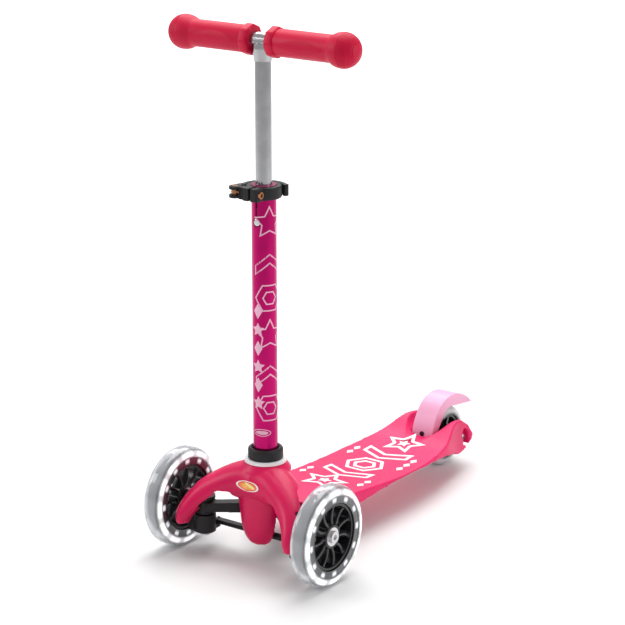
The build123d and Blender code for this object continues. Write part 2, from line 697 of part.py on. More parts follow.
# Clamp ring with two ears at the front, pulled together by a cross bolt
clamp_low = tube_top + 1.3 - clamp_height
clamp_high = clamp_low + clamp_height
clamp_middle = (clamp_low + clamp_high) / 2
ear_front = 27.5
ear_half = 11.0
bolt_y = stem_y - 21.5
lever_pin_x = -24.0
ring = tube(clamp_radius, tube_radius, (0, stem_y, clamp_low), (0, stem_y, clamp_high))
ring = fillet(ring.edges().filter_by(GeomType.CIRCLE).sort_by(SortBy.RADIUS)[-2:], 2.2)
ears = block((-ear_half, stem_y - ear_front, clamp_low), (ear_half, stem_y - 12, clamp_high))
ears = fillet(ears.edges().filter_by(Axis.Z).sort_by(Axis.Y)[:2], 3.5)
ring += ears - rod(tube_radius, (0, stem_y, clamp_low - 1), (0, stem_y, clamp_high + 1))
half_slit = slit_width / 2
ring -= block((-half_slit, stem_y - ear_front - 1, clamp_low - 1), (half_slit, stem_y - 10, clamp_high + 1))
bolt_radius = 2.5
bolt_head = 4.0
bolt_start = (ear_half + 2.0, bolt_y, clamp_middle)
bolt_end = (lever_pin_x - 4.0, bolt_y, clamp_middle)
ring -= rod(bolt_radius, bolt_start, bolt_end)
save("clamp_ring", ring)

# Cam washer between the ears and the lever, ribbed so that it grips
washer_outer_x = -ear_half - 5.0
cam_front = stem_y - ear_front + 1.5
cam_washer = block((washer_outer_x, cam_front, clamp_low + 0.5), (-ear_half, bolt_y + 5.0, clamp_high - 0.5))
for x in (-12.6, -14.4):
    groove = block((x - 0.4, stem_y - ear_front, clamp_low), (x + 0.4, stem_y - ear_front + 2.2, clamp_high))
    cam_washer -= groove
cam_washer -= rod(bolt_radius, bolt_start, bolt_end)
cam_washer -= rod(clamp_radius, (0, stem_y, clamp_low), (0, stem_y, clamp_high))
save("cam_washer", cam_washer)

# Barrel pin that the lever turns on, with the bolt threaded through its middle
barrel_radius = 3.5
barrel = rod(barrel_radius, (lever_pin_x, bolt_y, clamp_low + 0.4), (lever_pin_x, bolt_y, clamp_high - 0.4))
barrel -= rod(bolt_radius, bolt_start, bolt_end)
save("clamp_barrel", barrel)
bolt_neck = (ear_half, bolt_y, clamp_middle)
clamp_bolt = rod(bolt_radius, bolt_neck, bolt_end) + rod(bolt_head, bolt_start, bolt_neck)
bolt_socket = Plane(origin=bolt_start, z_dir=(-1, 0, 0)) * RegularPolygon(2.6, 6)
save("clamp_bolt", clamp_bolt - extrude(bolt_socket, 1.4))

# Quick-release lever: a fork on the barrel pin and an arm that hugs the ring
fork_radius = 7.2
lever_gap = 0.8
lever_thickness = 5.4
lever_inner = clamp_radius + lever_gap
lever_outer = lever_inner + lever_thickness
tip_angle = 42.0
lever_low = clamp_low + 0.6
lever_high = clamp_high - 0.6
arm_angles = (tip_angle, 207.0)
arm_ring = Circle(lever_outer) - Circle(lever_inner)
reach = 60.0
corners = [(reach * math.cos(math.radians(a)), reach * math.sin(math.radians(a))) for a in arm_angles]
wedge_outline = [(0, 0), corners[0], (reach, reach), (-reach, reach), (-reach, -reach / 2), corners[1]]
wedge = make_face(Polyline(*wedge_outline, close=True))
lever_plan = arm_ring & wedge
end_radius = lever_thickness / 2 + 0.8
mid_radius = (lever_inner + lever_outer) / 2 + 0.8
tip_x, tip_y = [mid_radius * f(math.radians(tip_angle + 4)) for f in (math.cos, math.sin)]
lever_plan += Pos(tip_x, tip_y) * Circle(end_radius)
pin_dx = lever_pin_x
pin_dy = bolt_y - stem_y
lever_plan += Pos(pin_dx, pin_dy) * Circle(fork_radius)
shank = Polyline(
    (pin_dx - fork_radius + 0.4, pin_dy),
    (pin_dx - fork_radius + 3.0, -9),
    (-lever_outer + 0.9, -4),
    (-lever_inner - 0.5, -9.7),
    (pin_dx + 4.2, pin_dy + 5.2),
    close=True,
)
lever_plan += make_face(shank)
lever = Pos(0, stem_y, lever_low) * extrude(lever_plan, lever_high - lever_low)
fork_slot_half = 2.9
lever -= block(
    (pin_dx - 20, bolt_y - 20, clamp_middle - fork_slot_half),
    (pin_dx + 20, bolt_y + fork_radius + 1, clamp_middle + fork_slot_half),
)
barrel_hole = barrel_radius + run_fit
lever -= rod(barrel_hole, (lever_pin_x, bolt_y, clamp_low - 1), (lever_pin_x, bolt_y, clamp_high + 1))
save("clamp_lever", lever)

# Handlebar: inner tube, crossbar, weld flare, two grips and the lower guide with its snap button
crossbar_half = overall_width / 2 - 8
bar_low = keyhole_z - 16
bar_bore = bar_radius - bar_wall
bar_post = tube(bar_radius, bar_bore, (0, stem_y, bar_low), (0, stem_y, bar_height))
crossbar_low = (-crossbar_half, stem_y, bar_height)
crossbar_high = (crossbar_half, stem_y, bar_height)
crossbar_space = rod(bar_radius, crossbar_low, crossbar_high)
bar_post -= crossbar_space
button_hole = rod(button_dia / 2 + 0.1, (0, front_of_stem, keyhole_z), (0, stem_y, keyhole_z))
save("bar_post", bar_post - button_hole)
save("crossbar", tube(bar_radius, bar_bore, crossbar_low, crossbar_high))
weld = lathe_z(
    [
        (bar_radius, bar_height - 22),
        (bar_radius + 0.7, bar_height - 22),
        (bar_radius + 2.6, bar_height - 8),
        (bar_radius + 2.6, bar_height - 2),
        (bar_radius, bar_height - 2),
    ],
    stem_y,
)
weld -= crossbar_space
save("bar_weld", weld.solids().sort_by(SortBy.VOLUME)[-1])
guide_top = bar_low + guide_length - 1
plug = tube(tube_bore / 2 - run_fit, bar_radius, (0, stem_y, bar_low + 1), (0, stem_y, guide_top))
save("guide_plug", plug - button_hole)

grip_inner = 12.0
flange_radius = 17.0
grip_end = overall_width / 2
knob_x = grip_end - knob_length
grip_outline = [
    (grip_inner, bar_radius),
    (grip_inner, flange_radius - 1.5),
    (grip_inner + 1.5, flange_radius),
    (grip_inner + 9, flange_radius),
    (grip_inner + 12, grip_radius),
    (knob_x - 9, grip_radius),
    (knob_x - 4, knob_radius - 1.5),
    (knob_x, knob_radius),
]
ring_steps = 8
cap_radius = 9.0
for i in range(1, ring_steps + 1):
    share = i / (ring_steps + 1)
    r_here = cap_radius + (knob_radius - cap_radius) * math.cos(share * math.pi / 2) ** 0.9
    x_here = knob_x + (knob_length - 2) * share
    grip_outline += [(x_here, r_here + 0.9), (x_here + 0.8, r_here)]
grip_outline += [(grip_end - 1.5, cap_radius), (grip_end, cap_radius - 2), (grip_end, 0)]
grip_outline += [(crossbar_half, 0), (crossbar_half, bar_radius)]
grip = lathe_x(grip_outline, 0, stem_y, bar_height)
save("grip_left", grip)
save("grip_right", mirrored(grip))

# Snap button on a leaf spring inside the lower guide
button_face = tube_radius - 0.1
leaf_thickness = 0.8
button_back = bar_bore - 2.6
button = rod(button_dia / 2, (0, stem_y - button_face, keyhole_z), (0, stem_y - button_back, keyhole_z))
button = fillet(button.edges().filter_by(GeomType.CIRCLE).sort_by(Axis.Y)[:1], 1.6)
save("snap_button", button)
leaf_y = stem_y - button_back
leaf = block((-3, leaf_y, keyhole_z - 4), (3, leaf_y + leaf_thickness, keyhole_z + 12))
leaf += block((-3, leaf_y, keyhole_z + 12 - leaf_thickness), (3, stem_y + bar_bore - 1.2, keyhole_z + 12))
leaf += block((-3, stem_y + bar_bore - 2, keyhole_z - 4), (3, stem_y + bar_bore - 1.2, keyhole_z + 12))
save("button_spring", leaf)
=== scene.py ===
import bpy
import json
import math
from mathutils import Matrix, Vector


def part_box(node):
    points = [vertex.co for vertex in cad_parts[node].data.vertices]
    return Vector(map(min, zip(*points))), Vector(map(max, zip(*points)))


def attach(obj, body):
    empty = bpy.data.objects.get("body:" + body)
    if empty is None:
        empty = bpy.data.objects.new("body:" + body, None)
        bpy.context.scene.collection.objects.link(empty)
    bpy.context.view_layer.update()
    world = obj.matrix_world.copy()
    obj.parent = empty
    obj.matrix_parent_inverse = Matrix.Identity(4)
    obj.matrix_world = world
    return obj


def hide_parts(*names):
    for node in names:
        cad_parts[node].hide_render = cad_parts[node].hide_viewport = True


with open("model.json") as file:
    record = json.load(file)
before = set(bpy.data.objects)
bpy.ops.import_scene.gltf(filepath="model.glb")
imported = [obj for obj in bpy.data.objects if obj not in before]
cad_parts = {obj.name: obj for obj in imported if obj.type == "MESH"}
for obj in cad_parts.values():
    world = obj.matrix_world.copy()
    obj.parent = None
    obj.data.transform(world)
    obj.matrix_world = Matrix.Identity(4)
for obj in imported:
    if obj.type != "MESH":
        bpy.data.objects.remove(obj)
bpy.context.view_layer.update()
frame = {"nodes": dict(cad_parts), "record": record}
bpy.ops.object.select_all(action="DESELECT")


# ---- Camera ----
# A long lens a metre up, ahead of the scooter and to its left.
# It looks at a point behind the stem, a little under half of the scooter's height.
camera_azimuth = math.radians(35.75)
camera_elevation = math.radians(16.62)
camera_distance = 2.571
camera_target = Vector((-0.0212, -0.0505, 0.2656))
camera_direction = Vector(
    (
        math.sin(camera_azimuth) * math.cos(camera_elevation),
        -math.cos(camera_azimuth) * math.cos(camera_elevation),
        math.sin(camera_elevation),
    )
)
camera_data = bpy.data.cameras.new("camera")
camera_data.sensor_width = 36.0
camera_data.lens = 123.7
camera = bpy.data.objects.new("camera", camera_data)
bpy.context.collection.objects.link(camera)
camera.location = camera_target + camera_direction * camera_distance
camera.rotation_euler = (-camera_direction).to_track_quat("-Z", "Y").to_euler()
bpy.context.scene.camera = camera


# ---- Front cover ----
# One nylon moulding over the stem socket and the steering: a nose in the middle and a
# wing over each knuckle.  The mould leaves it satin, and the washer under the collar
# holds it down.
class Value:
    """One output of a node, which takes ordinary arithmetic."""

    def __init__(self, finish, output):
        self.finish = finish
        self.output = output

    def math(self, operation, *others):
        inputs = dict(enumerate((self, *others)))
        return self.finish.node("ShaderNodeMath", {"operation": operation}, inputs)

    def __add__(self, other):
        return self.math("ADD", other)

    def __sub__(self, other):
        return self.math("SUBTRACT", other)

    def __rsub__(self, other):
        return self.math("MULTIPLY_ADD", -1.0, other)

    def __mul__(self, other):
        return self.math("MULTIPLY", other)

    def __truediv__(self, other):
        return self.math("DIVIDE", other)

    __radd__ = __add__
    __rmul__ = __mul__

    def step(self, low, high):
        """0 below low, 1 above high, and a smooth rise between."""
        settings = {"interpolation_type": "SMOOTHSTEP"}
        inputs = {"Value": self, "From Min": low, "From Max": high}
        return self.finish.node("ShaderNodeMapRange", settings, inputs)


class Finish:
    """A material under construction."""

    def __init__(self, name, **settings):
        self.material = bpy.data.materials.new(name)
        self.material.use_nodes = True
        self.tree = self.material.node_tree
        self.shader = self.tree.nodes["Principled BSDF"]
        self.set(**settings)

    def connect(self, socket, item):
        """Feed a socket from a Value, or set it to a number or a colour."""
        if isinstance(item, Value):
            self.tree.links.new(item.output, socket)
        elif isinstance(item, (tuple, list)) and socket.type == "RGBA" and len(item) == 3:
            socket.default_value = (*item, 1.0)
        else:
            socket.default_value = item

    def set(self, **settings):
        for name, item in settings.items():
            label = name.replace("_", " ").title().replace("Ior", "IOR")
            self.connect(self.shader.inputs[label], item)
        return self.material

    def node(self, kind, settings, inputs, output=0):
        """Add a node: its settings first, then its inputs."""
        node = self.tree.nodes.new(kind)
        for name, item in settings.items():
            setattr(node, name, item)
        for name, item in inputs.items():
            self.connect(node.inputs[name], item)
        return Value(self, node.outputs[output])

    def place(self, centre=(0, 0, 0)):
        """Object coordinates measured from a centre, in metres."""
        here = self.node("ShaderNodeTexCoord", {}, {}, "Object")
        return self.node("ShaderNodeVectorMath", {"operation": "SUBTRACT"}, {0: here, 1: centre})

    def split(self, vector):
        """The three parts of a vector."""
        first = self.node("ShaderNodeSeparateXYZ", {}, {0: vector})
        return [Value(self, output) for output in first.output.node.outputs]

    def noise(self, scale, detail=3.0, stretch=(1, 1, 1)):
        """Cloudy noise from 0 to 1, with a scale per metre."""
        inputs = {0: self.place(), 1: stretch}
        here = self.node("ShaderNodeVectorMath", {"operation": "MULTIPLY"}, inputs)
        inputs = {"Vector": here, "Scale": scale, "Detail": detail}
        return self.node("ShaderNodeTexNoise", {}, inputs, "Fac")

    def mix(self, share, first, second):
        """A colour between two others: sockets 6 and 7, and output 2, are the node's colours."""
        return self.node("ShaderNodeMix", {"data_type": "RGBA"}, {0: share, 6: first, 7: second}, 2)

    def bump(self, height, depth):
        inputs = {"Height": height, "Distance": depth, "Strength": 1.0}
        return self.set(normal=self.node("ShaderNodeBump", {}, inputs))


def moulded(name, colour, roughness=0.4, grain=0.00006, coat=0.0):
    """Injection-moulded plastic: spark-eroded grain, faint flow marks and scuffs."""
    finish = Finish(name, coat_weight=coat, coat_roughness=0.15, specular_ior_level=0.28)
    flow = finish.noise(14.0, 2.0)
    scuffs = finish.noise(900.0, 2.0, (1, 0.12, 1)).step(0.66, 0.76)
    darker = tuple(c * 0.86 for c in colour)
    finish.set(base_color=finish.mix(flow.step(0.3, 0.7), darker, colour))
    finish.set(roughness=roughness + 0.10 * finish.noise(160.0) + 0.08 * scuffs - 0.05)
    finish.bump(finish.noise(2600.0, 2.0) + 0.3 * finish.noise(700.0, 2.0), grain)
    return finish.material


body_of = {node: body for body, nodes in frame["record"]["behaviour"]["bodies"].items() for node in nodes}


def apply_modifiers(piece):
    bpy.ops.object.select_all(action="DESELECT")
    piece.select_set(True)
    bpy.context.view_layer.objects.active = piece
    for modifier in list(piece.modifiers):
        bpy.ops.object.modifier_apply(modifier=modifier.name)


def fit_out(piece, node, material, replace=True, smooth=35):
    """Finish a piece: its place in its mesh, its shading, finish, body and slot."""
    bpy.ops.object.select_all(action="DESELECT")
    piece.select_set(True)
    bpy.context.view_layer.objects.active = piece
    bpy.ops.object.transform_apply(location=True, rotation=True, scale=True)
    bpy.ops.object.shade_smooth_by_angle(angle=math.radians(smooth))
    piece.data.materials.clear()
    piece.data.materials.append(material)
    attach(piece, body_of[node])
    if replace:
        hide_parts(node)
    return piece


merge_distance = 0.00001
smoothing_share = 0.5


def softened(node, name, material, voxel, rounds):
    """A copy of a CAD node with its edges rounded over, as a mould rounds them."""
    piece = frame["nodes"][node].copy()
    piece.data = frame["nodes"][node].data.copy()
    piece.name = name
    piece.parent = None
    piece.matrix_world = Matrix.Identity(4)
    bpy.context.collection.objects.link(piece)
    bpy.ops.object.select_all(action="DESELECT")
    piece.select_set(True)
    bpy.context.view_layer.objects.active = piece
    bpy.ops.object.mode_set(mode="EDIT")
    bpy.ops.mesh.select_all(action="SELECT")
    bpy.ops.mesh.remove_doubles(threshold=merge_distance)
    bpy.ops.object.mode_set(mode="OBJECT")
    remesh = piece.modifiers.new("remesh", "REMESH")
    remesh.mode = "VOXEL"
    remesh.voxel_size = voxel
    smooth = piece.modifiers.new("smooth", "SMOOTH")
    smooth.factor = smoothing_share
    smooth.iterations = rounds
    apply_modifiers(piece)
    return fit_out(piece, node, material, smooth=180)


pink = (0.70, 0.0015, 0.088)
cover_finish = moulded("pink nylon", pink, 0.36, 0.00005, 0.05)
softened("front_cover", "cover_shell", cover_finish, voxel=0.0011, rounds=16)

# ---- Badge ----
# A domed resin oval, orange with pale stripes and a pale rim.
# It is stuck on the brow of the cover and follows its curve.
def dress(material, *nodes):
    """Give CAD nodes a finish."""
    for node in nodes:
        frame["nodes"][node].material_slots[0].material = material


low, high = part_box("badge")
badge_centre = (low + high) / 2
badge_finish = Finish("badge resin", coat_weight=0.8, coat_roughness=0.05, roughness=0.25)
across, _, up = badge_finish.split(badge_finish.place(badge_centre))
half_width, half_height = (high.x - low.x) / 2, (high.z - low.z) / 2
spread = (across / half_width).math("POWER", 2.0) + (up / half_height).math("POWER", 2.0)
rim = spread.step(0.70, 0.78)
amber, deep_orange = (0.95, 0.42, 0.03), (0.80, 0.10, 0.01)
pale_yellow, rim_white = (0.98, 0.80, 0.30), (0.92, 0.90, 0.90)
glow = badge_finish.mix(spread.step(0.0, 0.6), amber, deep_orange)
slant = across * 260.0 + up * 520.0
stripe = slant.math("SINE").step(0.55, 0.75) * (1.0 - spread.step(0.40, 0.48))
glow = badge_finish.mix(stripe, glow, pale_yellow)
badge_finish.set(base_color=badge_finish.mix(rim, glow, rim_white))
dress(badge_finish.material, "badge")

# ---- Deck ----
# The foot board, one glass-filled nylon moulding with a satin top and ribs beneath.
# Four screws hold it on the housing's tongue.  Its raised grip pattern is white silicone,
# over-moulded so that it stands just proud.
def rubber(name, colour, roughness=0.6, grain=0.00008):
    """Soft rubber with a fine matt skin and a little bloom."""
    finish = Finish(name, specular_ior_level=0.25)
    bloom = finish.noise(35.0, 3.0)
    paler = tuple(c * 0.94 + 0.004 for c in colour)
    finish.set(base_color=finish.mix(bloom.step(0.4, 0.75), colour, paler))
    finish.set(roughness=roughness + 0.12 * bloom - 0.06)
    finish.bump(finish.noise(1800.0, 3.0), grain)
    return finish.material


deck_pink = (0.78, 0.008, 0.125)
deck_finish = moulded("pink deck nylon", deck_pink, 0.42, 0.00007, 0.04)
softened("deck", "deck_body", deck_finish, voxel=0.0016, rounds=8)
dress(rubber("white silicone", (0.90, 0.84, 0.87), 0.5, 0.00005), "deck_print")

# ---- Steering ----
# The housing, beam, knuckles and tie rod are black glass-filled nylon.
# Their pins and screws are plain steel, and two urethane buffers centre the lean.
def metal(name, colour, roughness, lines=(1, 1, 1), depth=0.00001, metallic=1.0):
    """Bare or dyed metal with fine drawing lines and small stains."""
    finish = Finish(name, metallic=metallic)
    stains = finish.noise(60.0, 4.0)
    darker = tuple(c * 0.88 for c in colour)
    finish.set(base_color=finish.mix(stains.step(0.35, 0.7), darker, colour))
    drawn = finish.noise(1500.0, 3.0, lines)
    finish.set(roughness=roughness + 0.08 * stains + 0.07 * drawn - 0.07)
    finish.bump(drawn, depth)
    return finish.material


black = moulded("black nylon", (0.014, 0.014, 0.016), 0.45, 0.00009)
for node, name, voxel in (
    ("steering_housing", "housing_body", 0.0011),
    ("axle_beam", "beam_body", 0.0009),
    ("knuckle_left", "knuckle_body_left", 0.0008),
    ("knuckle_right", "knuckle_body_right", 0.0008),
    ("tie_rod", "tie_rod_body", 0.0008),
):
    softened(node, name, black, voxel=voxel, rounds=3)
steel = metal("bright steel", (0.60, 0.60, 0.62), 0.28)
dress(steel, "lean_pivot_pin", "steering_finger", "kingpins", "deck_screws")
dress(steel, "link_pin_left", "link_pin_right")
dress(rubber("urethane", (0.03, 0.03, 0.032)), "lean_buffers")

# ---- Front wheels ----
# Each is cast in clear urethane over a smoky ring of lamps, on a black spoked core that
# turns on two bearings.  Light from the lamps fills the clear part in short bright arcs.
sides = ("left", "right")
arc_count = 12.0


def around(finish, centre, size):
    """How far out from a wheel's axis, as a share of its size, and the angle round it."""
    _, along, up = finish.split(finish.place(centre))
    radius = (along * along + up * up).math("SQRT") / size
    return radius, up.math("ARCTAN2", along)


core_black = moulded("core nylon", (0.010, 0.010, 0.012), 0.22, 0.00003, 0.3)
for side in sides:
    low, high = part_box("front_tyre_" + side)
    centre = (low + high) / 2
    tyre_radius = (high.z - low.z) / 2
    tyre_finish = Finish("lit urethane " + side, roughness=0.06, coat_weight=1.0, coat_roughness=0.03)
    radius, angle = around(tyre_finish, centre, tyre_radius)
    arcs = (angle * arc_count).math("COSINE").step(-1.0, -0.1)
    haze = tyre_finish.noise(45.0, 3.0)
    band = radius.step(0.795, 0.86) * (1.0 - radius.step(0.90, 0.965))
    lit = band * (0.55 + 0.45 * arcs) * (0.75 + 0.5 * haze)
    # Painted reflection: the clear urethane outside the lit band is painted dark grey for the dark
    # reflections it shows, turning paler grey at the very edge of the tread.
    dark_reflection_rim = tyre_finish.mix(radius.step(0.95, 0.99), (0.16, 0.165, 0.175), (0.46, 0.47, 0.50))
    tyre_finish.set(base_color=tyre_finish.mix(lit, dark_reflection_rim, (0.97, 0.98, 1.0)))
    glow = tyre_finish.mix(lit, (0, 0, 0), (0.95, 0.97, 1.0))
    tyre_finish.set(emission_color=glow, emission_strength=0.75)
    tyre_finish.set(alpha=0.62 + 0.38 * lit.math("MINIMUM", 1.0))
    dress(tyre_finish.material, "front_tyre_" + side)

    ring_finish = Finish("smoky urethane " + side, roughness=0.12, coat_weight=0.8, coat_roughness=0.05)
    radius, angle = around(ring_finish, centre, tyre_radius)
    # Painted light: twelve soft spots of lamp glow are painted into the ring's colour and its emission.
    glow_spots = (angle * arc_count).math("COSINE").step(0.2, 1.0) * radius.step(0.67, 0.75)
    glow_spots = 0.8 * glow_spots * (1.0 - radius.step(0.75, 0.815))
    shade = ring_finish.mix(radius.step(0.66, 0.81), (0.020, 0.021, 0.023), (0.075, 0.078, 0.085))
    ring_finish.set(base_color=ring_finish.mix(glow_spots, shade, (0.8, 0.82, 0.86)))
    glow = ring_finish.mix(glow_spots, (0, 0, 0), (0.9, 0.94, 1.0))
    ring_finish.set(emission_color=glow, emission_strength=0.8)
    dress(ring_finish.material, "front_light_ring_" + side)
lamp_finish = Finish("lamp lens", base_color=(0.9, 0.93, 1.0), roughness=0.2)
lens = lamp_finish.noise(400.0)
glow = lamp_finish.mix(lens, (0.85, 0.9, 1.0), (1.0, 1.0, 1.0))
lamp_finish.set(emission_color=glow, emission_strength=1.5)
dress(lamp_finish.material, "front_lamps_left", "front_lamps_right")
for side in sides:
    softened("front_core_" + side, "core_body_" + side, core_black, voxel=0.0008, rounds=6)
dress(core_black, "rear_core")
zinc = metal("zinc plate", (0.70, 0.70, 0.72), 0.2)
brass = metal("yellow zinc", (0.62, 0.40, 0.20), 0.3)
for side in sides:
    dress(zinc, "front_bearing_outers_" + side, "wheel_bolt_" + side)
    dress(brass, "front_bearing_inners_" + side)
    dress(steel, "front_axle_sleeve_" + side)

# ---- Rear wheel ----
# A smaller wheel of pale clear urethane on a black core, which turns on two bearings.
# Its steel bolt runs between the deck's lugs.
rear_finish = Finish("pale urethane", roughness=0.1, coat_weight=0.8, coat_roughness=0.05)
low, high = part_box("rear_tyre")
centre = (low + high) / 2
rear_radius = (high.z - low.z) / 2
radius, _ = around(rear_finish, centre, rear_radius)
inner = 1.0 - radius.step(0.74, 0.84)
cloud = rear_finish.noise(60.0)
pale = rear_finish.mix(cloud, (0.62, 0.63, 0.65), (0.80, 0.81, 0.83))
smoky = (0.10, 0.10, 0.11)
rear_finish.set(base_color=rear_finish.mix(inner, pale, smoky), alpha=0.75 + 0.25 * inner)
dress(rear_finish.material, "rear_tyre")
dress(zinc, "rear_bearing_outers", "rear_bearing_inners", "rear_spacers")
dress(zinc, "rear_axle_bolt", "rear_axle_nut")

# ---- Brake ----
# A pale pink nylon fender over the rear wheel, with one black screw at its foot.
# It turns on a sprung steel pin in the deck.
brake_pink = moulded("pale pink nylon", (0.88, 0.42, 0.62), 0.34, 0.00004, 0.15)
softened("brake_fender", "fender_body", brake_pink, voxel=0.0007, rounds=10)
dress(black, "brake_screw")
dress(steel, "brake_pivot_pin", "brake_spring")

# ---- Collar ----
# A black nylon ring with a rounded shoulder, round the foot of the stem.
# It sits on a white nylon washer that trims the top of the cover.
turned_segments = 96


def turned(name, outline, centre, axis):
    """Turn an outline of (distance along the axis, radius), ring by ring from a circle."""
    bpy.ops.object.select_all(action="DESELECT")
    along, radius = outline[0]
    bpy.ops.mesh.primitive_circle_add(
        vertices=turned_segments,
        radius=radius,
        location=(0, 0, along),
    )
    piece = bpy.context.object
    piece.name = name
    bpy.ops.object.transform_apply(location=True, rotation=True, scale=True)
    bpy.ops.object.mode_set(mode="EDIT")
    bpy.ops.mesh.select_all(action="SELECT")
    for next_along, next_radius in outline[1:]:
        move = {"value": (0, 0, next_along - along)}
        bpy.ops.mesh.extrude_region_move(TRANSFORM_OT_translate=move)
        scale = next_radius / radius
        bpy.ops.transform.resize(value=(scale, scale, 1), center_override=(0, 0, next_along))
        along, radius = next_along, next_radius
    bpy.ops.mesh.select_all(action="SELECT")
    bpy.ops.mesh.remove_doubles(threshold=merge_distance / 2)
    bpy.ops.mesh.fill_holes(sides=turned_segments)
    bpy.ops.mesh.normals_make_consistent(inside=False)
    bpy.ops.object.mode_set(mode="OBJECT")
    turn = Vector(axis).to_track_quat("Z", "Y").to_matrix().to_4x4()
    piece.matrix_world = Matrix.Translation(centre) @ turn
    return piece


low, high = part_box("collar_ring")
middle = (low + high) / 2
collar_radius = (high.x - low.x) / 2
height = (high.z - low.z) / 2
collar_wall = 0.0052
foot_chamfer = 0.0008
mouth_chamfer = 0.0012
shoulder_drop = 0.0028
shoulder_middle = (0.0012, 0.0006)
shoulder_width = 0.002
bore = collar_radius - collar_wall
collar_outline = [
    (-height, bore),
    (-height, collar_radius - foot_chamfer),
    (-height + foot_chamfer, collar_radius),
    (height - shoulder_drop, collar_radius),
    (height - shoulder_middle[0], collar_radius - shoulder_middle[1]),
    (height, collar_radius - shoulder_width),
    (height, bore + mouth_chamfer),
    (height - mouth_chamfer, bore),
    (-height, bore),
]
collar = turned("collar_body", collar_outline, middle, (0, 0, 1))
fit_out(collar, "collar_ring", black)
dress(moulded("white nylon", (0.88, 0.87, 0.88), 0.35, 0.00004), "collar_washer")

# ---- Stem ----
# The outer tube is anodised magenta, with a slit and a keyhole at the top of its front.
# A dark pink guide fills its mouth.
magenta = metal("magenta anodising", (0.50, 0.003, 0.13), 0.22, (1, 1, 0.05), 0.000006, 0.85)
dress(magenta, "stem_tube")
dress(moulded("dark pink acetal", (0.30, 0.012, 0.10), 0.4), "guide_sleeve", "guide_plug")

# ---- Stem print ----
# Pale pink ink on the tube: star, chevron and hexagon outlines up its left, a column of
# small solid lozenges and stars up its front, and a ringed oval near its foot.
print_pink = moulded("pale pink ink", (0.90, 0.50, 0.66), 0.4, 0.00002)
tube_low, tube_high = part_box("stem_tube")
tube_centre = (tube_low + tube_high) / 2
ink_radius = (tube_high.x - tube_low.x) / 2 + 0.00006
ink_width = 0.0015
ink_thickness = 0.00012


def inked(name, points, height, bearing, width=None):
    """A flat shape, or just its outline, printed round the tube at a height and a bearing."""
    bpy.ops.object.select_all(action="DESELECT")
    bpy.ops.mesh.primitive_circle_add(vertices=len(points), radius=0.01, fill_type="NGON")
    piece = bpy.context.object
    piece.name = name
    for vertex, (across, up) in zip(piece.data.vertices, points):
        vertex.co = (across, up, 0)
    bpy.ops.object.mode_set(mode="EDIT")
    bpy.ops.mesh.select_all(action="SELECT")
    if width:
        bpy.ops.mesh.inset(thickness=width, use_even_offset=True)
        bpy.ops.mesh.delete(type="FACE")
        bpy.ops.mesh.select_all(action="SELECT")
    bpy.ops.mesh.quads_convert_to_tris()
    bpy.ops.mesh.subdivide(number_cuts=5)
    bpy.ops.object.mode_set(mode="OBJECT")
    for vertex in piece.data.vertices:
        across, up, _ = vertex.co
        turn = bearing + across / ink_radius
        vertex.co.x = tube_centre.x + ink_radius * math.sin(turn)
        vertex.co.y = tube_centre.y - ink_radius * math.cos(turn)
        vertex.co.z = height + up
    thicken = piece.modifiers.new("thicken", "SOLIDIFY")
    thicken.thickness = ink_thickness
    thicken.offset = 1.0
    apply_modifiers(piece)
    return fit_out(piece, "stem_tube", print_pink, replace=False)


def star_points(radius):
    """A five-pointed star, with the notches at half of its radius."""
    points = []
    for i in range(10):
        reach = radius if i % 2 == 0 else radius * 0.5
        points.append((reach * math.sin(math.pi * i / 5), reach * math.cos(math.pi * i / 5)))
    return points


def round_points(radius, count):
    turns = [math.tau * i / count for i in range(count)]
    return [(radius * math.cos(turn), radius * math.sin(turn)) for turn in turns]


chevron_points = [(0, 0.008), (0.018, -0.006), (0.018, -0.018)]
chevron_points += [(0, -0.004), (-0.018, -0.018), (-0.018, -0.006)]
lozenge_points = [(0, 0.009), (0.0055, 0), (0, -0.009), (-0.0055, 0)]
outline_bearing = math.radians(62)
outline_top = 0.408
outline_pitch = 0.044
shapes = (star_points(0.020), chevron_points, round_points(0.018, 6))
for i in range(6):
    height = outline_top - outline_pitch * i
    inked(f"ink_outline_{i}", shapes[i % 3], height, outline_bearing, ink_width)
    if i % 3 == 2:
        inked(f"ink_inner_{i}", round_points(0.009, 6), height, outline_bearing, ink_width)
oval_bearing = math.radians(20)
oval_height = 0.158
oval_points = [(0.011 * across, 0.0045 * up) for across, up in round_points(1.0, 32)]
oval_core = [(0.7 * across, 0.5 * up) for across, up in oval_points]
inked("ink_oval", oval_points, oval_height, oval_bearing, 0.0009)
inked("ink_oval_core", oval_core, oval_height, oval_bearing)
small_bearing = math.radians(4)
small_top = 0.304
small_pitch = 0.022
for i in range(6):
    shape = star_points(0.0085) if i % 2 else lozenge_points
    inked(f"ink_small_{i}", shape, small_top - small_pitch * i, small_bearing)

# ---- Clamp ----
# A black nylon ring and lever at the top of the outer tube.  A bronze bolt pulls the ring
# together when the lever swings home round the stem.
softened("clamp_ring", "clamp_ring_body", black, voxel=0.0005, rounds=6)
softened("clamp_lever", "clamp_lever_body", black, voxel=0.0005, rounds=10)
dress(black, "cam_washer")
bronze = metal("bronze", (0.46, 0.20, 0.10), 0.28)
dress(bronze, "clamp_barrel", "clamp_bolt")

# ---- Handlebar ----
# Two tubes of bright drawn aluminium, welded into a tee.
# A sprung steel button inside the upright holds it at its height.
aluminium = (0.50, 0.50, 0.52)
bright = metal("drawn aluminium", aluminium, 0.16, (1, 1, 0.03), 0.000006)
bright_across = metal("drawn aluminium across", aluminium, 0.16, (0.03, 1, 1), 0.000006)
dress(bright, "bar_post", "bar_weld")
dress(bright_across, "crossbar")
dress(zinc, "snap_button", "button_spring")

